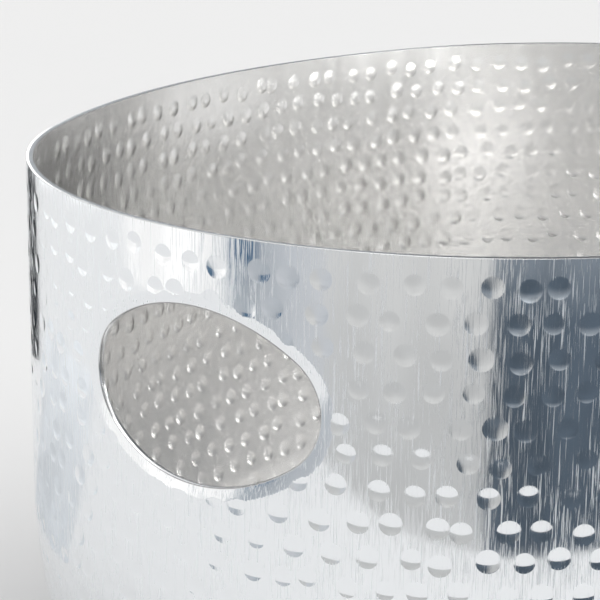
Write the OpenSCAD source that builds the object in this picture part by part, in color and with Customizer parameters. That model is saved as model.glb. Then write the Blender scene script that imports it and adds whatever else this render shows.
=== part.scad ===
// Oval hammered aluminium champagne bucket with two cut-out hand holes.
// +Z is up, +X runs along the long axis. The origin is on the table, under the middle of the bucket.
// The side is one strip of sheet, rolled to an oval and closed by an upright weld at the +X end.
// A dished base is welded in under it, and four bumpers keep the metal off the table.

/* [Bucket] */
// Overall length along the long axis, outside the wall
length = 440; // [400:5:500]
// Overall width across the short axis, outside the wall
width = 336; // [320:4:360]
// Height of the metal body, from the underside of the base to the rim
body_h = 227; // [215:1:240]
// Sheet thickness
sheet_t = 2.4; // [2:0.1:3]
// Bevel on the two edges of the rim
rim_bevel = 0.4; // [0.2:0.1:0.6]

/* [Wall profile] */
// Height of the upright stretch of wall below the rim
straight_h = 115; // [105:1:125]
// Outer radius of the gentle inward curve under the upright stretch
belly_r = 275; // [240:5:320]
// Outer radius of the tight curve between side and base
corner_r = 60; // [50:1:65]

/* [Hand holes] */
// Width of each hand hole, seen along the long axis
hole_w = 87; // [80:1:95]
// Height of each hand hole
hole_h = 57; // [50:1:60]
// Depth of the middle of each hand hole below the rim
hole_drop = 52; // [45:1:60]

/* [Welds] */
// Width of the filler metal in each seam
weld_w = 2.4; // [2:0.1:3]

/* [Feet] */
// Height of each bumper foot under the base
foot_h = 3; // [2:0.5:5]
// Diameter of each bumper foot where it meets the base
foot_d = 19; // [12:1:22]
// Distance between feet along the long axis
foot_gap_x = 200; // [160:5:220]
// Distance between feet across the short axis
foot_gap_y = 110; // [90:5:120]

/* [Hidden] */
$fn = 180;

// Every oval here has four tangent arcs, two ends and two sides. An end's centre lies on the long
// axis and a side's centre beyond the middle, on the short axis. Together with the middle they make
// a right triangle of whole-number sides, so that the arcs meet on one exact plane.
BUCKET_TRIANGLE = [5, 12, 13];
HOLE_TRIANGLE = [3, 4, 5];
function triangle_scale(a, b, t) = (a - b) / (t[0] + t[1] - t[2]);
function end_offset(a, b, t) = t[0] * triangle_scale(a, b, t);
function side_offset(a, b, t) = t[1] * triangle_scale(a, b, t);

half_l = length / 2;
half_w = width / 2;
end_x = end_offset(half_l, half_w, BUCKET_TRIANGLE);
side_y = side_offset(half_l, half_w, BUCKET_TRIANGLE);
end_r = half_l - end_x;
side_r = half_w + side_y;

// Heights of the profile's joins, above the table
base_z = foot_h;
rim_z = base_z + body_h;
belly_z = rim_z - straight_h;
corner_angle = asin((body_h - straight_h - corner_r) / (belly_r - corner_r));
weld_angle = weld_w / belly_r * 180 / PI;

// The corner's centre, measured from the outside of the upright wall, and the edge of the flat base
corner_x = (belly_r - corner_r) * cos(corner_angle) - belly_r;
corner_z = base_z + corner_r;
flat_inset = -corner_x;
flat_lap = 6;

hole_z = rim_z - hole_drop;
reach = 20;
wedge = 100;

aluminium = [0.78, 0.79, 0.80];
weld_grey = [0.70, 0.71, 0.73];
clear_grey = [0.82, 0.84, 0.86, 0.6];

// Profile pieces are drawn with x = 0 on the outside of the upright wall and y as the height.

// Part of a ring of sheet around a centre, between two angles measured down from level
module bent_sheet(centre, r, from_angle, to_angle) {
    translate(centre)
        intersection() {
            difference() {
                circle(r = r);
                circle(r = r - sheet_t);
            }
            polygon([
                [0, 0],
                2 * r * [cos(from_angle), -sin(from_angle)],
                2 * r * [cos(to_angle), -sin(to_angle)],
            ]);
        }
}

// Upright stretch of wall, with its two rim edges bevelled
module upright_profile() {
    polygon([
        [0, belly_z],
        [0, rim_z - rim_bevel],
        [-rim_bevel, rim_z],
        [-sheet_t + rim_bevel, rim_z],
        [-sheet_t, rim_z - rim_bevel],
        [-sheet_t, belly_z],
    ]);
}

module belly_profile(from_angle, to_angle) {
    bent_sheet([-belly_r, belly_z], belly_r, from_angle, to_angle);
}

module wall_profile() {
    upright_profile();
    belly_profile(0, corner_angle - weld_angle);
}

module pan_profile() {
    bent_sheet([corner_x, corner_z], corner_r, corner_angle, 90);
    translate([corner_x - flat_lap, base_z]) square([flat_lap, sheet_t]);
}

// One arc of a swept profile: a full ring of it, kept between the two planes where the arcs meet
module ring_arc(r, corner_a, corner_b) {
    intersection() {
        rotate_extrude() translate([r, 0]) children();
        linear_extrude(height = rim_z + reach)
            polygon([[0, 0], wedge * corner_a, wedge * corner_b]);
    }
}

// Carries a profile round the bucket's oval, one arc at a time
module round_the_oval() {
    t = BUCKET_TRIANGLE;
    for (side = [1, -1]) {
        translate([side * end_x, 0])
            ring_arc(end_r, [side * t[0], -t[1]], [side * t[0], t[1]]) children();
        translate([0, -side * side_y])
            ring_arc(side_r, [t[0], side * t[1]], [-t[0], side * t[1]]) children();
    }
}

// A filled oval
module oval(a, b, t) {
    tip_x = end_offset(a, b, t);
    drop = side_offset(a, b, t);
    join_x = tip_x + (a - tip_x) * t[0] / t[2];
    for (side = [-1, 1]) translate([side * tip_x, 0]) circle(r = a - tip_x);
    intersection() {
        translate([0, -drop]) circle(r = b + drop);
        translate([0, drop]) circle(r = b + drop);
        square([2 * join_x, 4 * b], center = true);
    }
}

// The cut through both ends of the wall that makes the two hand holes
module hand_hole_cut() {
    translate([0, 0, hole_z])
        rotate([90, 0, 90])
            linear_extrude(height = length + 2 * reach, center = true)
                oval(hole_w / 2, hole_h / 2, HOLE_TRIANGLE);
}

// The upright gap at the +X end, where the rolled strip's two ends meet
module wall_seam_gap() {
    translate([end_x, -weld_w / 2, base_z])
        cube([end_r + reach, weld_w, body_h + reach]);
}

module side_wall() {
    color(aluminium)
        difference() {
            round_the_oval() wall_profile();
            hand_hole_cut();
            wall_seam_gap();
        }
}

module wall_seam_weld() {
    color(weld_grey)
        intersection() {
            difference() {
                round_the_oval() wall_profile();
                hand_hole_cut();
            }
            wall_seam_gap();
        }
}

module base_seam_weld() {
    color(weld_grey)
        round_the_oval() belly_profile(corner_angle - weld_angle, corner_angle);
}

module base_pan() {
    color(aluminium) {
        round_the_oval() pan_profile();
        translate([0, 0, base_z])
            linear_extrude(height = sheet_t)
                oval(half_l - flat_inset, half_w - flat_inset, BUCKET_TRIANGLE);
    }
}

// A low moulded bumper, stuck to the underside of the base
module foot(x, y) {
    edge = 1;
    color(clear_grey)
        translate([x, y, 0])
            rotate_extrude()
                polygon([
                    [0, 0],
                    [foot_d / 2 - 2 * edge, 0],
                    [foot_d / 2 - edge, edge],
                    [foot_d / 2, foot_h],
                    [0, foot_h],
                ]);
}

module foot_left_front() { foot(-foot_gap_x / 2, -foot_gap_y / 2); }
module foot_left_back() { foot(-foot_gap_x / 2, foot_gap_y / 2); }
module foot_right_front() { foot(foot_gap_x / 2, -foot_gap_y / 2); }
module foot_right_back() { foot(foot_gap_x / 2, foot_gap_y / 2); }

side_wall();
wall_seam_weld();
base_seam_weld();
base_pan();
foot_left_front();
foot_left_back();
foot_right_front();
foot_right_back();
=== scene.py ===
import math

import bpy
import numpy as np
from mathutils import Matrix, Vector
from mathutils.geometry import delaunay_2d_cdt


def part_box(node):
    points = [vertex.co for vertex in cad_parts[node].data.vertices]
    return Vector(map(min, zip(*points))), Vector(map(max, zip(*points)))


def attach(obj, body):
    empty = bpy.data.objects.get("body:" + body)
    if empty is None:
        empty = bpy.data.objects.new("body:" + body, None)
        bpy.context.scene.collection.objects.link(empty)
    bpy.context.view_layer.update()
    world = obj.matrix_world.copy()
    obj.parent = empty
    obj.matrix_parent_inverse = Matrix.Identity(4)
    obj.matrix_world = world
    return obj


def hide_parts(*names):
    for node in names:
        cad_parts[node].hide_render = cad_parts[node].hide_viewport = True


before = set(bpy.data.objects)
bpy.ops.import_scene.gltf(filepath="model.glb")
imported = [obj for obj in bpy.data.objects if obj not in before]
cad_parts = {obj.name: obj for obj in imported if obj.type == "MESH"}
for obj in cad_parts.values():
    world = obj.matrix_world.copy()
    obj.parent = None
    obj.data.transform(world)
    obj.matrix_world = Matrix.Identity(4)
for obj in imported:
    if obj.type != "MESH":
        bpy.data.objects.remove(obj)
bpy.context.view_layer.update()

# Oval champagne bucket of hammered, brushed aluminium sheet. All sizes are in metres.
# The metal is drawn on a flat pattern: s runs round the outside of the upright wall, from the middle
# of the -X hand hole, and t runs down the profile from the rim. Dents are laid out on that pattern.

MM = 0.001
rng = np.random.default_rng(20)

# ---------------------------------------------------------------- sizes
SHEET_T = 2.4 * MM
RIM_BEVEL = 0.10 * MM
STRAIGHT_H = 115 * MM
BELLY_R = 275 * MM
CORNER_R = 60 * MM
WELD_W = 2.4 * MM

HOLE_W = 87 * MM
HOLE_H = 57 * MM
HOLE_DROP = 52 * MM          # from the rim to the hole's middle
HOLE_ROUND = 0.35 * MM       # rounding of the hole's two cut edges
GRIND_W = 4.1 * MM           # width of the ground band round a hand hole
GRIND_DEPTH = 0.62 * MM      # at the hole's edge
GRIND_SHAPE = 1.08           # 1 makes the band a straight slope, and more rounds it over towards the hole

DENT_R = 3.55 * MM
DENT_DEPTH = 0.165 * MM
DENT_TILT = 0.66             # the lower side of a dent is this much deeper, and the upper side less deep
DENT_PITCH = 11.7 * MM       # along a row
ROW_PITCH = 10.55 * MM
FIRST_ROW = 9.1 * MM         # below the rim
LAST_ROW_GAP = 1.5 * MM      # from the last dents to the flat base, about
DENT_EDGE = 0.10             # a dent's edge is eased over this far either way, its cap being 1 in its middle
BUMP_EDGE = 0.09             # the same for the back of a dent, inside
BUMP_HEIGHT = 0.22 * MM
BUMP_CLEAR = 4 * MM          # bumps fade out over this width beside a hand hole

ROW_SLIP = 0.2               # how far a row slips along itself, in pitches
ALONG_SCATTER = 1.25 * MM
DOWN_SCATTER = 0.65 * MM
SIZE_SCATTER = 0.045
DEPTH_SCATTER = 0.16

WAVE_COUNT = 9
WAVE_ALONG = 210             # the finest wave, in radians a metre
WAVE_DOWN = 150
WAVE_DEPTH = 0.022 * MM      # of one wave, before they are added up
WAVE_FADE = 12 * MM          # waves fade out towards the rim and the base

# ---------------------------------------------------------------- the oval and the profile
HALF_L, HALF_W, RIM_Z = Vector(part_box("side_wall")[1])
BASE_Z = Vector(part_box("base_pan")[0]).z

# Four tangent arcs. Their centres and the middle make right triangles with sides of 5, 12 and 13.
STEP = (HALF_L - HALF_W) / 4
END_X, SIDE_Y = 5 * STEP, 12 * STEP
END_R, SIDE_R = HALF_L - END_X, HALF_W + SIDE_Y
JOIN = math.atan2(12, 5)
SIDE_TURN = math.pi - 2 * JOIN
GIRTH = 4 * END_R * JOIN + 2 * SIDE_R * SIDE_TURN

BELLY_Z = RIM_Z - STRAIGHT_H
CORNER_ANGLE = math.asin((RIM_Z - BASE_Z - STRAIGHT_H - CORNER_R) / (BELLY_R - CORNER_R))
CORNER_X = BELLY_R - (BELLY_R - CORNER_R) * math.cos(CORNER_ANGLE)
CORNER_Z = BASE_Z + CORNER_R
T_BELLY = STRAIGHT_H
T_SEAM = T_BELLY + BELLY_R * CORNER_ANGLE
T_FLAT = T_SEAM + CORNER_R * (math.pi / 2 - CORNER_ANGLE)


def heading(s, inset=0.0):
    """Outward direction, as an angle from -X, at length s round the oval drawn that far inside."""
    end_r, side_r = END_R - inset, SIDE_R - inset
    half = 2 * end_r * JOIN + side_r * SIDE_TURN
    q = np.abs((s + half) % (2 * half) - half)
    sign = np.where((s + half) % (2 * half) < half, -1.0, 1.0)
    first = end_r * JOIN
    side = side_r * SIDE_TURN
    a = np.where(q < first, q / end_r,
                 np.where(q < first + side, JOIN + (q - first) / side_r,
                          JOIN + SIDE_TURN + (q - first - side) / end_r))
    return sign * a


def s_at(angle):
    """Length round the outer oval where the outward direction is that angle from -X."""
    a = np.abs(angle)
    first = END_R * JOIN
    side = SIDE_R * SIDE_TURN
    q = np.where(a < JOIN, a * END_R,
                 np.where(a < JOIN + SIDE_TURN, first + (a - JOIN) * SIDE_R,
                          first + side + (a - JOIN - SIDE_TURN) * END_R))
    return np.sign(angle) * q


def arc_of(angle):
    """Centre and radius of the arc that an outward direction belongs to. s grows towards -Y."""
    a = np.abs(angle)
    near, far = a < JOIN, a > math.pi - JOIN
    cx = np.where(near, -END_X, np.where(far, END_X, 0.0))
    cy = np.where(near | far, 0.0, np.sign(angle) * SIDE_Y)
    return cx, cy, np.where(near | far, END_R, SIDE_R)


def profile(t):
    """Inset from the upright wall, height, and slope from upright, at length t below the rim."""
    belly = np.clip((t - T_BELLY) / BELLY_R, 0, CORNER_ANGLE)
    corner = np.clip(CORNER_ANGLE + (t - T_SEAM) / CORNER_R, CORNER_ANGLE, math.pi / 2)
    slope = np.where(t < T_SEAM, belly, corner)
    inset = np.where(t < T_SEAM, BELLY_R * (1 - np.cos(slope)), CORNER_X - CORNER_R * np.cos(slope))
    z = np.where(t < T_BELLY, RIM_Z - t,
                 np.where(t < T_SEAM, BELLY_Z - BELLY_R * np.sin(slope),
                          CORNER_Z - CORNER_R * np.sin(slope)))
    return inset + np.maximum(t - T_FLAT, 0), z, slope


def squeeze(s, t):
    """How much shorter a step round the bucket is at t than on the upright wall."""
    _, _, r = arc_of(heading(s))
    return (r - profile(t)[0]) / r


def smooth_sheet(s, t, depth):
    """Points that lie depth inside the outer face, before any hammering."""
    angle = heading(s)
    cx, cy, r = arc_of(angle)
    inset, z, slope = profile(t)
    out_x, out_y = -np.cos(angle), -np.sin(angle)
    reach = r - inset - depth * np.cos(slope)
    return np.stack([cx + reach * out_x, cy + reach * out_y, z + depth * np.sin(slope)], -1)


# ---------------------------------------------------------------- hand holes
# Also four tangent arcs, with right triangles of 3, 4 and 5.
HOLE_STEP = (HOLE_W - HOLE_H) / 4
HOLE_TIP_X, HOLE_SIDE_Y = 3 * HOLE_STEP, 4 * HOLE_STEP
HOLE_TIP_R, HOLE_SIDE_R = HOLE_W / 2 - HOLE_TIP_X, HOLE_H / 2 + HOLE_SIDE_Y
HOLE_JOIN = math.atan2(4, 3)


def seen_endways(s, t):
    """A point's place in the flat view along the long axis, measured from its nearest hole's middle."""
    near = (s + GIRTH / 4) % (GIRTH / 2) - GIRTH / 4
    return END_R * np.sin(near / END_R), t - HOLE_DROP


def hole_frame(s, t):
    """Distance outside the hole's outline, and the way out from it, in the view along the long axis."""
    x, y = seen_endways(s, t)
    ax, ay = np.abs(x), np.abs(y)
    tip = ay * 3 < (ax - HOLE_TIP_X) * 4
    dx = ax - np.where(tip, HOLE_TIP_X, 0.0)
    dy = ay + np.where(tip, 0.0, HOLE_SIDE_Y)
    far = np.maximum(np.hypot(dx, dy), 1e-9)
    gap = far - np.where(tip, HOLE_TIP_R, HOLE_SIDE_R)
    return gap, np.sign(x) * dx / far, np.sign(y) * dy / far


def hole_loop(s_mid, offset, step):
    """Flat-pattern points of a hole's outline, that far outside it."""
    n = int(math.pi * (HOLE_W + HOLE_H) / 2 / step)
    g = np.arange(n) * 2 * math.pi / n
    q = np.abs((g + math.pi / 2) % math.pi - math.pi / 2)
    tip = q < HOLE_JOIN
    r = np.where(tip, HOLE_TIP_R, HOLE_SIDE_R) + offset
    x = np.where(tip, np.sign(np.cos(g)) * HOLE_TIP_X, 0.0) + r * np.cos(g)
    y = np.where(tip, 0.0, -np.sign(np.sin(g)) * HOLE_SIDE_Y) + r * np.sin(g)
    return np.stack([s_mid + END_R * np.arcsin(x / END_R), HOLE_DROP + y], -1)


# ---------------------------------------------------------------- dents
def dent_rows():
    """Rows of dents as arrays of s, t, radius and depth. The rows are loosely staggered."""
    rows = []
    t_row = FIRST_ROW
    while t_row < T_FLAT - DENT_R - LAST_ROW_GAP:
        inset = float(profile(np.array([t_row]))[0][0])
        length = GIRTH - 2 * math.pi * inset
        n = round(length / DENT_PITCH)
        place = (np.arange(n) + 0.5 * (len(rows) % 2) + rng.uniform(-ROW_SLIP, ROW_SLIP)) * length / n
        place = place - length / 2 + rng.normal(0, ALONG_SCATTER, n)
        t = t_row + rng.normal(0, DOWN_SCATTER, n)
        size = rng.normal(1, SIZE_SCATTER, n).clip(0.88, 1.12)
        hit = rng.normal(1, DEPTH_SCATTER, n).clip(0.6, 1.4)
        s = s_at(heading(place, inset))
        order = np.argsort(s)
        rows.append(np.stack([s, t, DENT_R * size, DENT_DEPTH * size * hit], -1)[order])
        t_row += ROW_PITCH
    return rows


ROWS = dent_rows()
ROW_REACH = 9 * MM           # no dent shapes the metal further than this above or below its row


def wrap(s):
    """The same place, between minus and plus half the girth."""
    return (s + GIRTH / 2) % GIRTH - GIRTH / 2


def nearest_dent(s, t, edge=0.0):
    """At each point, the cap of the nearest dent, which is 1 in its middle, 0 at its edge and negative
    outside, and how deep the metal is pressed in, with the dent's edge eased over."""
    cap = np.full(s.shape, -9.0)
    pressed = np.zeros(s.shape)
    gauge = squeeze(s, t)
    for row in ROWS:
        near = np.abs(t - row[:, 1].mean()) < ROW_REACH
        if not near.any():
            continue
        sn, tn, gn = wrap(s[near]), t[near], gauge[near]
        at = np.searchsorted(row[:, 0], sn)
        best, deep = cap[near], pressed[near]
        for shift in (-1, 0):
            d = row[(at + shift) % len(row)]
            down = (tn - d[:, 1]) / d[:, 2]
            c = 1 - (wrap(sn - d[:, 0]) * gn / d[:, 2]) ** 2 - down ** 2
            best = np.maximum(best, c)
            tilt = 1 + DENT_TILT * down.clip(-1, 1)
            deep = np.maximum(deep, d[:, 3] * tilt * eased(c, edge))
        cap[near], pressed[near] = best, deep
    return cap, pressed


def eased(c, edge):
    """c above the edge zone, nothing below it, and a smooth turn from one to the other between."""
    turn = (c + edge).clip(0, 2 * edge) ** 2 / (4 * edge) if edge else c.clip(0)
    return np.where(c > edge, c, turn)


WAVES = [(rng.uniform(0.6, 1.0), rng.uniform(-1, 1) * WAVE_ALONG, rng.uniform(-1, 1) * WAVE_DOWN,
          rng.uniform(0, 2 * math.pi)) for _ in range(WAVE_COUNT)]


def waviness(s, t):
    """The slow unevenness that hammering leaves between the dents, always inwards."""
    total = sum(a * (1 + np.sin(round(f * GIRTH / math.tau) * math.tau * s / GIRTH + g * t + p))
                for a, f, g, p in WAVES)
    fade = np.clip(np.minimum(t, T_FLAT - t) / WAVE_FADE, 0, 1)
    return WAVE_DEPTH * total * fade / math.sqrt(WAVE_COUNT)


def outer_depth(s, t):
    """How far the hammered outer face lies inside the smooth one."""
    dents = nearest_dent(s, t, DENT_EDGE)[1]
    grind = GRIND_DEPTH * np.clip(1 - hole_frame(s, t)[0] / GRIND_W, 0, 1) ** GRIND_SHAPE
    return np.maximum(dents, grind) + waviness(s, t)


def inner_depth(s, t):
    """How far the inner face, with the backs of the dents, lies inside the smooth outer one."""
    bumps = nearest_dent(s, t, BUMP_EDGE)[1] * BUMP_HEIGHT / DENT_DEPTH
    clear = np.clip(hole_frame(s, t)[0] / BUMP_CLEAR, 0, 1)
    return SHEET_T + bumps * clear + waviness(s, t)


# ---------------------------------------------------------------- sheet meshes
# Rings of points round a dent on the outer face and on the inner: radius as a share, and point count.
OUTER_RINGS = [(1.05, 32), (1.0, 32), (0.95, 32), (0.8, 24), (0.62, 18), (0.42, 12), (0.2, 6), (0, 1)]
INNER_RINGS = [(1.05, 26), (1.0, 26), (0.94, 26), (0.75, 18), (0.5, 11), (0.25, 6), (0, 1)]
FILL_STEP = 2.3 * MM         # between the dents
FILL_CLEAR = 1.25            # the fill keeps this many radii from a dent's middle
GRIND_STEP = 0.6 * MM        # on the ground band outside, and twice that inside
EDGE_STEP = 1.3 * MM         # along the piece's border
HOLE_EDGE_STEP = 0.8 * MM
MARGIN = 0.25 * MM           # points inside a face keep this far from its border
NORMAL_STEP = 0.02 * MM      # half the step over which slopes are measured
EDGE_LEAN = 0.35             # how much a cut edge's shading leans towards the face beside it
SAME = 1e-7                  # closer together than this counts as the same place
CDT_NEAR = 1e-5              # the triangulation's tolerance, in millimetres
PLATE_RINGS = 16             # rings of points on the flat base
OUTSIDE, INSIDE, CUT, BASE_OUT, BASE_IN = range(5)  # the material slots of every sheet piece
CLEAR_OF_DENTS = T_FLAT + 30 * MM  # a place on the pattern for points that no dent is near


def ring_points(rings, s0, s1, t0, t1):
    """Points in rings round every dent that reaches the given part of the flat pattern."""
    out = []
    reach = 1.5 * DENT_R
    for row in ROWS:
        for turn in (-GIRTH, 0, GIRTH):
            d = row.copy()
            d[:, 0] += turn
            keep = (d[:, 0] > s0 - reach) & (d[:, 0] < s1 + reach)
            keep &= (d[:, 1] > t0 - reach) & (d[:, 1] < t1 + reach)
            d = d[keep]
            if not len(d):
                continue
            gauge = squeeze(d[:, 0], d[:, 1])
            for x, n in rings:
                a = (np.arange(n) + 0.5 * (n % 4)) * 2 * math.pi / n
                s = d[:, :1] + x * d[:, 2:3] * np.cos(a) / gauge[:, None]
                t = d[:, 1:2] + x * d[:, 2:3] * np.sin(a)
                out.append(np.stack([s.ravel(), t.ravel()], -1))
    return np.concatenate(out)


def grid_points(s0, s1, t0, t1, step):
    """Points in staggered rows, as the corners of nearly even triangles."""
    row_step = step * 0.87
    s, t = np.meshgrid(np.arange(s0, s1, step), np.arange(t0, t1, row_step))
    s = s + (np.arange(s.shape[0]) % 2)[:, None] * step / 2
    return np.stack([s.ravel(), t.ravel()], -1)


def edge_line(a, b, step):
    """Even points from a up to, but not with, b."""
    n = max(1, round(math.dist(a, b) / step))
    return np.linspace(a, b, n, endpoint=False)


def flat_triangles(points, loops, s0, s1, t0, t1, has_holes):
    """Triangulates the pattern between s0, s1 and t0, t1, with the loops as edges, outside the holes."""
    verts, edges = list(points), []
    for loop in loops:
        first = len(verts)
        verts += list(loop)
        edges += [(first + i, first + (i + 1) % len(loop)) for i in range(len(loop))]
    flat = [Vector((p[0] / MM, p[1] / MM)) for p in verts]
    result = delaunay_2d_cdt(flat, edges, [], 0, CDT_NEAR)
    at = np.array([(v.x, v.y) for v in result[0]]) * MM
    tri = np.array(result[2])
    mid = at[tri].mean(1)
    keep = (mid[:, 0] > s0) & (mid[:, 0] < s1) & (mid[:, 1] > t0) & (mid[:, 1] < t1)
    if has_holes:
        keep &= hole_frame(mid[:, 0], mid[:, 1])[0] > HOLE_ROUND
    tri = tri[keep]
    a, b, c = at[tri[:, 0]], at[tri[:, 1]], at[tri[:, 2]]
    area = (b[:, 0] - a[:, 0]) * (c[:, 1] - a[:, 1]) - (b[:, 1] - a[:, 1]) * (c[:, 0] - a[:, 0])
    tri = np.where((area > 0)[:, None], tri, tri[:, ::-1])
    used, tri = np.unique(tri, return_inverse=True)
    return at[used], tri.reshape(-1, 3)


def border(tri):
    """Edges with a triangle on one side only, in that triangle's direction."""
    e = np.concatenate([tri[:, [0, 1]], tri[:, [1, 2]], tri[:, [2, 0]]])
    n = int(tri.max()) + 1
    key = e.min(1).astype(np.int64) * n + e.max(1)
    _, first, count = np.unique(key, return_index=True, return_counts=True)
    return e[first[count == 1]]


def face_normals(s, t, depth_of, side):
    """Exact normals of a hammered face; side is 1 for the outer face and -1 for the inner."""
    e = NORMAL_STEP
    along = smooth_sheet(s + e, t, depth_of(s + e, t)) - smooth_sheet(s - e, t, depth_of(s - e, t))
    down = smooth_sheet(s, t + e, depth_of(s, t + e)) - smooth_sheet(s, t - e, depth_of(s, t - e))
    n = np.cross(along, down)
    n /= np.linalg.norm(n, axis=1)[:, None]
    out = smooth_sheet(s, t, np.zeros_like(s)) - smooth_sheet(s, t, np.full_like(s, MM))
    facing = np.sign((n * out).sum(1))[:, None]
    return n * facing * side


def microns(x):
    """A length in millimetres, rounded to a micron so that it can be looked up."""
    return round(x / MM, 3)


def joined_round(at, tri, s0, s1):
    """Joins the two ends of a pattern that goes all the way round."""
    starts = {microns(at[i, 1]): i for i in np.flatnonzero(np.abs(at[:, 0] - s0) < SAME)}
    swap = np.arange(len(at))
    for i in np.flatnonzero(np.abs(at[:, 0] - s1) < SAME):
        swap[i] = starts[microns(at[i, 1])]
    used, tri = np.unique(swap[tri], return_inverse=True)
    return at[used], tri.reshape(-1, 3)


def pattern_points(side, s0, s1, top, t1, holes):
    """The points inside a part of the pattern, for its outer (1) or inner (-1) face."""
    p = [ring_points(OUTER_RINGS if side == 1 else INNER_RINGS, s0, s1, top, t1)]
    fill = grid_points(s0, s1, top, t1, FILL_STEP)
    p.append(fill[nearest_dent(fill[:, 0], fill[:, 1])[0] < 1 - FILL_CLEAR ** 2])
    wide, high = 0.6 * HOLE_W, 0.65 * HOLE_H
    step = GRIND_STEP if side == 1 else 2 * GRIND_STEP
    for h in holes:
        fine = grid_points(h - wide, h + wide, HOLE_DROP - high, HOLE_DROP + high, step)
        gap = hole_frame(fine[:, 0], fine[:, 1])[0]
        p.append(fine[gap < GRIND_W + MM])
    p = np.concatenate(p)
    keep = (p[:, 0] > s0 + MARGIN) & (p[:, 0] < s1 - MARGIN)
    keep &= (p[:, 1] > top + MARGIN) & (p[:, 1] < t1 - MARGIN)
    if holes:
        keep &= hole_frame(p[:, 0], p[:, 1])[0] > HOLE_ROUND + MARGIN
    return p[keep]


def cut_edge(s, t, has_rim, has_holes):
    """Where the square-cut edge lies beside each border point, and which way it faces."""
    cut_s, cut_t = s.copy(), t.copy()
    way = np.zeros((len(s), 2))
    if has_rim:
        on_rim = t < RIM_BEVEL * 1.01
        cut_t = np.where(on_rim, 0.0, cut_t)
        way[on_rim] = (0, -1)
    if has_holes:
        gap, gx, gy = hole_frame(s, t)
        on_hole = gap < HOLE_ROUND * 1.2
        x, _ = seen_endways(s, t)
        moved = END_R * (np.arcsin((x - gap * gx) / END_R) - np.arcsin(x / END_R))
        cut_s = np.where(on_hole, s + moved, cut_s)
        cut_t = np.where(on_hole, t - gap * gy, cut_t)
        way[on_hole] = np.stack([-gx, -gy], -1)[on_hole]
    zero = np.zeros_like(s)
    here = smooth_sheet(s, t, zero)
    along = (smooth_sheet(s + MM, t, zero) - here) / MM
    down = (smooth_sheet(s, t + MM, zero) - here) / MM
    return cut_s, cut_t, along * way[:, :1] + down * way[:, 1:]


def hammered_sides(s0, s1, top, t1, holes, closed):
    """The outer and the inner face: for each its pattern points, triangles, points and normals."""
    corners = [(s0, top), (s1, top), (s1, t1), (s0, t1)]
    outline = np.concatenate([edge_line(corners[i], corners[(i + 1) % 4], EDGE_STEP) for i in range(4)])
    loops = [outline] + [hole_loop(h, HOLE_ROUND, HOLE_EDGE_STEP) for h in holes]
    sides = []
    for side, depth_of in ((1, outer_depth), (-1, inner_depth)):
        points = pattern_points(side, s0, s1, top, t1, holes)
        at, tri = flat_triangles(points, loops, s0, s1, top, t1, bool(holes))
        if closed:
            at, tri = joined_round(at, tri, s0, s1)
        s, t = at[:, 0], at[:, 1]
        sides.append((at, tri, smooth_sheet(s, t, depth_of(s, t)), face_normals(s, t, depth_of, side)))
    return sides


def edge_faces(rim, ring, twin, first_in, first_cut):
    """Three bands of faces, from the outer face's border over the cut edge to the inner face's border."""
    place = {int(v): i for i, v in enumerate(ring)}
    faces = []
    for a, b in rim.tolist():
        ia, ib = place[a], place[b]
        out_a, out_b = first_cut + ia, first_cut + ib
        in_a, in_b = out_a + len(ring), out_b + len(ring)
        end_a, end_b = first_in + int(twin[ia]), first_in + int(twin[ib])
        faces += [(a, b, out_b, out_a), (out_a, out_b, in_b, in_a), (in_a, in_b, end_b, end_a)]
    return faces


def sheet_piece(name, s0, s1, t0, t1, holes=(), closed=False, plate=False):
    """A hammered piece of the bucket's sheet, as one closed mesh. A plate closes its lower border."""
    top = RIM_BEVEL if t0 == 0 else t0
    (at_o, tri_o, p_o, n_o), (at_i, tri_i, p_i, n_i) = hammered_sides(s0, s1, top, t1, holes, closed)

    rim = border(tri_o)
    if plate:
        rim = rim[(at_o[rim, 1] < t1 - SAME).any(1)]
    ring = np.unique(rim)
    s, t = at_o[ring, 0], at_o[ring, 1]
    cut_s, cut_t, way = cut_edge(s, t, t0 == 0, bool(holes))
    edge_out = smooth_sheet(cut_s, cut_t, outer_depth(s, t) + RIM_BEVEL)
    edge_in = smooth_sheet(cut_s, cut_t, inner_depth(s, t) - RIM_BEVEL)
    twin_at = {(microns(a), microns(b)): i for i, (a, b) in enumerate(at_i)}
    twin = np.array([twin_at[(microns(a), microns(b))] for a, b in at_o[ring]])

    first_in = len(at_o)
    first_cut = first_in + len(at_i)
    points = [p_o, p_i, edge_out, edge_in]
    normals = [n_o, n_i, way + EDGE_LEAN * n_o[ring], way + EDGE_LEAN * n_i[twin]]
    flat = [at_o, at_i, at_o[ring], at_o[ring]]
    edges = edge_faces(rim, ring, twin, first_in, first_cut)
    faces = tri_o[:, ::-1].tolist() + (tri_i + first_in).tolist() + edges
    slots = [OUTSIDE] * len(tri_o) + [INSIDE] * len(tri_i) + [CUT] * len(edges)
    if plate:
        first = first_cut + 2 * len(ring)
        plates = ((at_o, 0, p_o, 0.0, -1, BASE_OUT), (at_i, first_in, p_i, SHEET_T, 1, BASE_IN))
        for at, offset, face_points, depth, facing, slot in plates:
            low = np.flatnonzero(at[:, 1] > t1 - SAME)
            xyz, polygons = plate_face(face_points[low], BASE_Z + depth, facing)
            index = np.concatenate([low + offset, first + np.arange(len(xyz))])
            faces += [[int(index[i]) for i in f] for f in polygons]
            slots += [slot] * len(polygons)
            points.append(xyz)
            normals.append(np.tile((0.0, 0.0, float(facing)), (len(xyz), 1)))
            flat.append(np.tile((0.0, CLEAR_OF_DENTS), (len(xyz), 1)))
            first += len(xyz)
    return finish_sheet(name, *(np.concatenate(x) for x in (points, normals, flat)), faces, slots)


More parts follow.
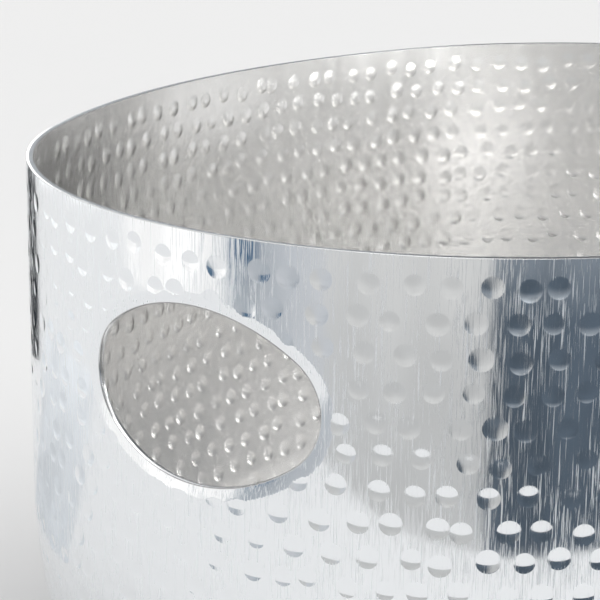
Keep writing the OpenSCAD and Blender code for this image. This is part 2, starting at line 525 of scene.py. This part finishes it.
def plate_face(loop, z, facing):
    """Fills a loop of points with a flat face: the new points inside, and triangles over both."""
    order = np.argsort(np.arctan2(loop[:, 1], loop[:, 0]))
    n = len(loop)
    rings = [loop[order, :2][::2 + k // 4] * (0.97 - 0.06 * k) for k in range(PLATE_RINGS)]
    inner = np.concatenate(rings)
    verts = [Vector(p[:2] / MM) for p in np.concatenate([loop[:, :2], inner])]
    edges = [(int(order[i]), int(order[(i + 1) % n])) for i in range(n)]
    result = delaunay_2d_cdt(verts, edges, [], 1, CDT_NEAR)
    assert len(result[0]) == len(verts)
    polygons = []
    for f in result[2]:
        a, b, c = (result[0][i] for i in f)
        turn = (b.x - a.x) * (c.y - a.y) - (b.y - a.y) * (c.x - a.x)
        polygons.append(f if turn * facing > 0 else f[::-1])
    return np.concatenate([inner, np.full((len(inner), 1), z)], 1), polygons


def finish_sheet(name, points, normals, flat, faces, slots):
    """The Blender object, with its exact normals and how dented it is at each point."""
    mesh = bpy.data.meshes.new(name)
    mesh.from_pydata(points.tolist(), [], faces)
    mesh.polygons.foreach_set("material_index", slots)
    mesh.polygons.foreach_set("use_smooth", [True] * len(faces))
    dent = nearest_dent(flat[:, 0], flat[:, 1])[0].clip(0, 1)
    mesh.attributes.new("dent", "FLOAT", "POINT").data.foreach_set("value", dent.astype(np.float32))
    mesh.validate()
    unit = normals / np.linalg.norm(normals, axis=1)[:, None]
    mesh.normals_split_custom_set_from_vertices(unit.tolist())
    piece = bpy.data.objects.new(name, mesh)
    bpy.context.collection.objects.link(piece)
    return piece


# ---------------------------------------------------------------- materials
def shader(name, roughness, color, metallic=1.0):
    """A new material and its Principled shader, with the plain values set."""
    material = bpy.data.materials.new(name)
    material.use_nodes = True
    bsdf = material.node_tree.nodes["Principled BSDF"]
    bsdf.inputs["Base Color"].default_value = (*color, 1)
    bsdf.inputs["Metallic"].default_value = metallic
    bsdf.inputs["Roughness"].default_value = roughness
    return material, bsdf


def node(owner, kind, **settings):
    """A new node in a material's or a world's tree."""
    made = owner.node_tree.nodes.new(kind)
    for key, value in settings.items():
        setattr(made, key, value)
    return made


def link(owner, source, target):
    """Joins one node's output to another's input."""
    owner.node_tree.links.new(source, target)


def streaks(owner, across, along, turn=(0, 0, 0), detail=2.0, axis=2):
    """Noise drawn out into fine lines along one axis, across and along being its feature sizes."""
    place = node(owner, "ShaderNodeTexCoord")
    mapping = node(owner, "ShaderNodeMapping")
    scale = [1 / across] * 3
    scale[axis] = 1 / along
    mapping.inputs["Scale"].default_value = scale
    mapping.inputs["Rotation"].default_value = turn
    noise = node(owner, "ShaderNodeTexNoise")
    noise.inputs["Scale"].default_value = 1.0
    noise.inputs["Detail"].default_value = detail
    link(owner, place.outputs["Object"], mapping.inputs["Vector"])
    link(owner, mapping.outputs["Vector"], noise.inputs["Vector"])
    return noise.outputs["Fac"]


def ramp(owner, value, before, after):
    """The value, with the range before stretched to the range after, and clamped to it."""
    made = node(owner, "ShaderNodeMapRange")
    for key, x in zip(("From Min", "From Max", "To Min", "To Max"), (*before, *after)):
        made.inputs[key].default_value = x
    link(owner, value, made.inputs["Value"])
    return made.outputs["Result"]


def maths(owner, operation, a, b):
    """The sum, product or larger of two values; the second may be a plain number."""
    made = node(owner, "ShaderNodeMath", operation=operation)
    link(owner, a, made.inputs[0])
    if isinstance(b, float):
        made.inputs[1].default_value = b
    else:
        link(owner, b, made.inputs[1])
    return made.outputs[0]


def bump(material, bsdf, height, distance):
    """Raises the surface by up to the distance where the height is 1, in shading only."""
    made = node(material, "ShaderNodeBump")
    made.inputs["Distance"].default_value = distance
    made.inputs["Strength"].default_value = 1.0
    link(material, height, made.inputs["Height"])
    link(material, made.outputs["Normal"], bsdf.inputs["Normal"])


def brushed_outside():
    """Polished, with fine upright brush lines of rougher metal and less brushing down in the dents."""
    m, bsdf = shader("brushed_aluminium", 0.12, (0.90, 0.92, 0.94))
    tangent = node(m, "ShaderNodeTangent", direction_type="RADIAL", axis="Z")
    link(m, tangent.outputs["Tangent"], bsdf.inputs["Tangent"])
    dent = node(m, "ShaderNodeAttribute", attribute_name="dent").outputs["Fac"]
    kept = ramp(m, dent, (0.0, 0.4), (1.0, 0.3))
    fine = ramp(m, streaks(m, 0.30 * MM, 8 * MM, turn=(0.03, 0.02, 0), detail=1.5), (0.52, 0.67), (0.0, 1.0))
    leaning = streaks(m, 0.5 * MM, 22 * MM, turn=(0.10, -0.08, 0), detail=1.0)
    leaning = ramp(m, leaning, (0.60, 0.70), (0.0, 1.0))
    broad = streaks(m, 1.5 * MM, 45 * MM, turn=(0.02, -0.015, 0))
    patches = ramp(m, streaks(m, 9 * MM, 25 * MM), (0.35, 0.65), (0.3, 1.0))
    lines = maths(m, "MAXIMUM", maths(m, "MULTIPLY", fine, patches), leaning)
    lines = maths(m, "MULTIPLY", lines, kept)
    bump(m, bsdf, maths(m, "ADD", lines, maths(m, "MULTIPLY", broad, 1.5)), 0.006 * MM)
    link(m, ramp(m, lines, (0.0, 1.0), (0.07, 0.44)), bsdf.inputs["Roughness"])
    link(m, ramp(m, lines, (0.0, 1.0), (0.9, 0.5)), bsdf.inputs["Anisotropic"])
    return m


def satin_inside():
    """A softer, warmer satin. Its colour is lighter than the outside metal's: partly the satin's own tone,
    and partly painted light that brightens the inside.
    """
    m, bsdf = shader("satin_aluminium", 0.24, (0.955, 0.95, 0.94))
    bump(m, bsdf, streaks(m, 0.7 * MM, 1.5 * MM), 0.004 * MM)
    link(m, ramp(m, streaks(m, 6 * MM, 30 * MM), (0.3, 0.7), (0.215, 0.262)), bsdf.inputs["Roughness"])
    return m


def cut_metal():
    """Filed edge: fine marks along the cut."""
    m, bsdf = shader("filed_aluminium", 0.26, (0.66, 0.665, 0.67))
    bump(m, bsdf, streaks(m, 0.25 * MM, 0.9 * MM, detail=3.0), 0.02 * MM)
    return m


def brushed_flat(name, roughness, color):
    """The flat base, brushed along the bucket."""
    m, bsdf = shader(name, roughness, color)
    bump(m, bsdf, streaks(m, 0.3 * MM, 30 * MM, axis=0), 0.012 * MM)
    return m


def clear_bumper():
    """Clear moulded plastic with a slightly uneven surface."""
    m, bsdf = shader("clear_bumper", 0.12, (0.93, 0.95, 0.96), metallic=0.0)
    bsdf.inputs["Transmission Weight"].default_value = 0.85
    bsdf.inputs["IOR"].default_value = 1.49
    bump(m, bsdf, streaks(m, 1.2 * MM, 1.2 * MM), 0.03 * MM)
    return m


# ---------------------------------------------------------------- the pieces
SHEET_MATERIALS = [  # in the order of the slots
    brushed_outside(),
    satin_inside(),
    cut_metal(),
    brushed_flat("brushed_base", 0.30, (0.80, 0.805, 0.81)),
    # The inner base's colour is darker than the inside wall's: painted shade that tones down the top light's
    # glare on it.
    brushed_flat("satin_base", 0.36, (0.86, 0.855, 0.845)),
]
BUMPER = clear_bumper()
HALF = GIRTH / 2
GAP = WELD_W / 2
T_WELD = T_SEAM - WELD_W


def settle(piece, node_name, materials):
    """Gives a piece its materials, hides the CAD node that it stands for, and hangs it under the root body.
    """
    for m in materials:
        piece.data.materials.append(m)
    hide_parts(node_name)
    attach(piece, "root")


SHEETS = (
    ("hammered_wall", "side_wall", "hammered_aluminium",
     dict(s0=GAP - HALF, s1=HALF - GAP, t0=0, t1=T_WELD, holes=(0, HALF, -HALF))),
    ("upright_weld", "wall_seam_weld", "weld_metal",
     dict(s0=HALF - GAP, s1=HALF + GAP, t0=0, t1=T_WELD, holes=(HALF,))),
    ("base_weld", "base_seam_weld", "weld_metal",
     dict(s0=-HALF, s1=HALF, t0=T_WELD, t1=T_SEAM, closed=True)),
    ("hammered_pan", "base_pan", "hammered_aluminium",
     dict(s0=-HALF, s1=HALF, t0=T_SEAM, t1=T_FLAT, closed=True, plate=True)),
)
for piece_name, node_name, slot, extent in SHEETS:
    settle(sheet_piece(piece_name, **extent), node_name, SHEET_MATERIALS)

FOOT_TURNS = 48
FOOT_BULGE = 0.9 * MM * 1.6  # radius of the rounded side


def foot_outline(r, h):
    """Radius and height of each ring of a foot, from the middle underneath to the middle on top."""
    outline = [(0, 0), (0.3 * r, 0), (0.62 * r, 0.02 * h)]
    for degrees in range(-80, 10, 10):
        a = math.radians(degrees)
        outline.append((r - FOOT_BULGE + FOOT_BULGE * math.cos(a), h * 0.62 + h * 0.58 * math.sin(a)))
    outline += [(r - 0.05 * MM, 0.86 * h), (r - 0.25 * MM, h - 0.05 * MM), (r - 0.5 * MM, h)]
    return outline + [(0.5 * r, h), (0, h)]


def bumper_foot(node_name):
    """A low moulded dome, flat on top where it is stuck on."""
    low, high = (Vector(c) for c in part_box(node_name))
    x_mid, y_mid = (low.x + high.x) / 2, (low.y + high.y) / 2
    rings = foot_outline((high.x - low.x) / 2, high.z - low.z)[1:-1]
    turns = FOOT_TURNS
    verts, faces = [], []
    for x, z in rings:
        for k in range(turns):
            a = 2 * math.pi * k / turns
            verts.append((x_mid + x * math.cos(a), y_mid + x * math.sin(a), low.z + z))
    for i in range(len(rings) - 1):
        for k in range(turns):
            j = (k + 1) % turns
            faces.append((i * turns + k, i * turns + j, (i + 1) * turns + j, (i + 1) * turns + k))
    faces.append(tuple(range(turns))[::-1])
    faces.append(tuple((len(rings) - 1) * turns + k for k in range(turns)))
    mesh = bpy.data.meshes.new("bumper_" + node_name)
    mesh.from_pydata(verts, [], faces)
    mesh.polygons.foreach_set("use_smooth", [True] * (len(faces) - 2) + [False] * 2)
    piece = bpy.data.objects.new("bumper_" + node_name, mesh)
    bpy.context.collection.objects.link(piece)
    settle(piece, node_name, [BUMPER])


for foot in [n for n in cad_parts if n.startswith("foot_")]:
    bumper_foot(foot)


# ---------------------------------------------------------------- camera
# The camera looks at the middle of the rim and is then turned, as fitted to the photograph.
VIEW_DISTANCE = 0.789        # from the middle of the rim
VIEW_ELEVATION = math.radians(10.63)
VIEW_HEADING = math.radians(-151.345)
PAN, TILT, ROLL = math.radians(7.10), math.radians(-5.11), math.radians(-0.69)
LENS = 122.67
SENSOR_W = 36                # both in millimetres, as on a lens


def camera():
    """The photograph's camera."""
    data = bpy.data.cameras.new("camera")
    data.lens = LENS
    data.sensor_width = SENSOR_W
    data.clip_start = 0.01
    made = bpy.data.objects.new("camera", data)
    bpy.context.collection.objects.link(made)
    rim_middle = Vector((0, 0, RIM_Z))
    flat = Vector((math.cos(VIEW_HEADING), math.sin(VIEW_HEADING), 0)) * math.cos(VIEW_ELEVATION)
    place = rim_middle + VIEW_DISTANCE * (flat + Vector((0, 0, math.sin(VIEW_ELEVATION))))
    ahead = (rim_middle - place).normalized()
    right = ahead.cross(Vector((0, 0, 1))).normalized()
    pan = Matrix.Rotation(PAN, 3, "Z")
    ahead, right = pan @ ahead, pan @ right
    ahead = Matrix.Rotation(TILT, 3, right) @ ahead
    right = Matrix.Rotation(ROLL, 3, ahead) @ right
    up = right.cross(ahead)
    made.matrix_world = Matrix.Translation(place) @ Matrix((right, up, -ahead)).transposed().to_4x4()
    bpy.context.scene.camera = made


camera()


# ---------------------------------------------------------------- floor, cards and lights
FLOOR_SIZE = 12.0            # from the middle to each side
FLOOR_COLOR = (0.815, 0.81, 0.803)
BUCKET_MIDDLE = Vector((0, 0, 0.12))


def floor():
    """A pale matt floor that reaches past every view."""
    mesh = bpy.data.meshes.new("floor")
    corners = [(x * FLOOR_SIZE, y * FLOOR_SIZE, 0) for x, y in ((-1, -1), (1, -1), (1, 1), (-1, 1))]
    mesh.from_pydata(corners, [], [(0, 1, 2, 3)])
    made = bpy.data.objects.new("floor", mesh)
    bpy.context.collection.objects.link(made)
    m, bsdf = shader("pale_floor", 0.55, FLOOR_COLOR, metallic=0.0)
    bsdf.inputs["Specular IOR Level"].default_value = 0.0
    mesh.materials.append(m)


def glowing(name, color, far_color, along, start, uneven):
    """A material that only shines. Its colour can change to the far colour, towards a card's other end
    (along) or its top, and it is mottled by the share uneven."""
    m = bpy.data.materials.new(name)
    m.use_nodes = True
    m.node_tree.nodes.clear()
    glow = node(m, "ShaderNodeEmission")
    end = node(m, "ShaderNodeOutputMaterial")
    link(m, glow.outputs["Emission"], end.inputs["Surface"])
    mottle = streaks(m, 0.09, 0.09, detail=1.0)
    link(m, ramp(m, mottle, (0.35, 0.65), (1.0 - uneven, 1.0 + uneven)), glow.inputs["Strength"])
    if not far_color:
        glow.inputs["Color"].default_value = (*color, 1)
        return m
    mix = node(m, "ShaderNodeMix", data_type="RGBA")
    which = node(m, "ShaderNodeAttribute", attribute_name="along" if along else "up")
    link(m, ramp(m, which.outputs["Fac"], (start, 1.0), (0.0, 1.0)), mix.inputs["Factor"])
    mix.inputs["A"].default_value = (*color, 1)
    mix.inputs["B"].default_value = (*far_color, 1)
    link(m, mix.outputs["Result"], glow.inputs["Color"])
    return m


def card(name, corners, height, color, end_color=None, top_color=None, low=0.0, top_corners=None,
         start=0.0, uneven=0.10):
    """An upright folded card from low to height, seen only in the metal's reflections. Its colour can
    change towards its far end, or towards its top from the share start of its height. Given other
    corners for its top edge, it leans or lies flat."""
    n = len(corners)
    mesh = bpy.data.meshes.new(name)
    faces = [(i, i + 1, n + i + 1, n + i) for i in range(n - 1)]
    tops = top_corners or corners
    mesh.from_pydata([(*c, low) for c in corners] + [(*c, height) for c in tops], [], faces)
    along = [i / (n - 1) for i in range(n)] * 2
    mesh.attributes.new("along", "FLOAT", "POINT").data.foreach_set("value", along)
    mesh.attributes.new("up", "FLOAT", "POINT").data.foreach_set("value", [0.0] * n + [1.0] * n)
    mesh.materials.append(glowing(name, color, end_color or top_color, bool(end_color), start, uneven))
    made = bpy.data.objects.new(name, mesh)
    bpy.context.collection.objects.link(made)
    made.visible_camera = False
    made.visible_diffuse = False
    made.visible_shadow = False
    made.visible_transmission = False


def sun(power, azimuth, elevation, width):
    """Even light over the whole floor, as from a very large soft source. Metal doesn't mirror it."""
    data = bpy.data.lights.new("even_light", "SUN")
    data.energy = power
    data.angle = width
    made = bpy.data.objects.new("even_light", data)
    aim = Vector((math.cos(azimuth) * math.cos(elevation), math.sin(azimuth) * math.cos(elevation),
                  math.sin(elevation)))
    made.rotation_euler = aim.to_track_quat("Z", "Y").to_euler()
    bpy.context.collection.objects.link(made)
    made.visible_glossy = False


def soft_box(name, place, brightness, size=0.8):
    """A square light, aimed at the bucket, that only the metal sees."""
    data = bpy.data.lights.new(name, "AREA")
    data.size = size
    data.energy = math.pi * size * size * brightness
    made = bpy.data.objects.new(name, data)
    made.location = place
    made.rotation_euler = (BUCKET_MIDDLE - Vector(place)).to_track_quat("-Z", "Y").to_euler()
    bpy.context.collection.objects.link(made)
    made.visible_camera = False
    made.visible_diffuse = False


# The front cards stand in a bent line between the bucket and the camera. Their places are given as the
# distance sideways along that line and the distance in front of the bucket's middle.
FRONT = Vector((-0.839, -0.545))
SIDEWAYS = Vector((0.545, -0.839))


def places(*pairs):
    """Places given as distances sideways and in front."""
    return [SIDEWAYS * a + FRONT * b for a, b in pairs]


def around(*pairs):
    """Places given as an azimuth in degrees and a distance from the bucket's middle."""
    return [Vector((r * math.cos(math.radians(a)), r * math.sin(math.radians(a)))) for a, r in pairs]


def arc(distance, *azimuths):
    """Places at one distance from the bucket's middle."""
    return around(*((a, distance) for a in azimuths))


LEFT_PLACES = places((-0.480, 0.400), (-0.443, 0.457), (-0.34, 0.575))
MIDDLE_PLACES = places((-0.34, 0.575), (-0.13, 0.56), (0.005, 0.54))
RIGHT_PLACES = places((0.005, 0.54), (0.08, 0.53), (0.145, 0.507), (0.205, 0.48), (0.32, 0.42))
CARD_TOP = 0.235             # where the two grey cards in front end and the ones above them begin
TALL_TOP = 0.60
WINDOW_TOP = 0.70
WINDOW_FAR = 1.2


def front_cards():
    """The cards that the near side of the wall mirrors."""
    card("left_grey_card", LEFT_PLACES, CARD_TOP, (0.36, 0.40, 0.44), (0.56, 0.57, 0.59))
    card("grey_card", MIDDLE_PLACES, CARD_TOP, (0.52, 0.52, 0.515), top_color=(0.74, 0.73, 0.71),
         uneven=0.07)
    # The blue card is painted shade: it stands for the shaded upright end of something standing there, as
    # the wall mirrors it.
    card("blue_card", places((-0.478, 0.398), (-0.442, 0.454)), 0.20, (0.07, 0.14, 0.23), low=0.105,
         uneven=0.0)
    card("upper_left_card", LEFT_PLACES, TALL_TOP, (0.95, 0.95, 0.95), low=CARD_TOP)
    card("upper_card", MIDDLE_PLACES, TALL_TOP, (0.34, 0.35, 0.37), low=CARD_TOP)
    card("white_card", [(-0.887, 0.36), (-0.60, 0.72)], TALL_TOP, (1.1, 1.08, 1.06))
    card("far_white_card", around((70, 1.10), (98, 1.08), (126, 1.12)), 0.90, (1.06, 1.06, 1.06))
    card("dark_card", RIGHT_PLACES, 0.30, (0.085, 0.11, 0.14), top_color=(0.85, 0.90, 0.95), start=0.38,
         uneven=0.2)
    card("right_grey_card", places((0.32, 0.42), (0.62, 0.22)), 0.50, (0.50, 0.54, 0.58))


def side_and_back_cards():
    """A dark card and one flat on the floor, which the wall's left edge mirrors, and one far behind. The
    flat one is darker near the bucket and lighter further out: a painted shadow of the bucket on the floor,
    as the wall mirrors it.
    """
    card("dark_side_card", [(0.135, 0.52), (0.02, 0.575)], 0.45, (0.012, 0.016, 0.02))
    card("dark_back_card", [(2.0, 1.2), (2.3, -0.1)], 1.0, (0.16, 0.17, 0.19))
    # The card on the floor paints the bucket's shadow on the floor: darker near the bucket, lighter further
    # out.
    near = around((92, 0.315), (106, 0.315), (122, 0.33))
    far = around((92, 0.68), (106, 0.68), (122, 0.66))
    card("painted_floor_shadow_card", near, MM, (0.58, 0.605, 0.63), top_color=(0.84, 0.86, 0.88), low=MM, top_corners=far)


def window_cards():
    """Bright and grey cards further out, which mostly light the inside."""
    card("window_card", arc(WINDOW_FAR, 258, 274, 290, 306), WINDOW_TOP, (10.2, 10.2, 10.1), low=0.25)
    card("left_window_card", arc(WINDOW_FAR, 168, 180, 192, 214), 0.75, (2.4, 2.4, 2.4), low=0.30)
    card("back_window_card", arc(WINDOW_FAR, 56, 68, 79), WINDOW_TOP, (3.6, 3.6, 3.6), low=0.25)
    card("back_grey_card", arc(WINDOW_FAR, 34, 45, 56), WINDOW_TOP, (0.50, 0.53, 0.56), low=0.25)


def cloudy_world(color, strength):
    """A dim world, unevenly bright, as a room is."""
    world = bpy.data.worlds.new("world")
    bpy.context.scene.world = world
    world.use_nodes = True
    sky = world.node_tree.nodes["Background"]
    sky.inputs["Color"].default_value = (*color, 1)
    clouds = node(world, "ShaderNodeTexNoise")
    clouds.inputs["Scale"].default_value = 1.6
    clouds.inputs["Detail"].default_value = 1.0
    link(world, node(world, "ShaderNodeTexCoord").outputs["Generated"], clouds.inputs["Vector"])
    uneven = ramp(world, clouds.outputs["Fac"], (0.35, 0.65), (0.8 * strength, 1.2 * strength))
    link(world, uneven, sky.inputs["Strength"])


floor()
front_cards()
side_and_back_cards()
window_cards()
sun(power=3.0, azimuth=math.radians(-60), elevation=math.radians(66), width=math.radians(90))
soft_box("side_box", (0.42, -0.72, 1.12), 1.8)
soft_box("back_box", (0.42, 0.72, 1.12), 1.0)
soft_box("top_box", (0.0, 0.0, 1.42), 4.8)
cloudy_world((0.96, 0.99, 1.03), strength=0.20)
bpy.context.scene.view_settings.view_transform = "Standard"
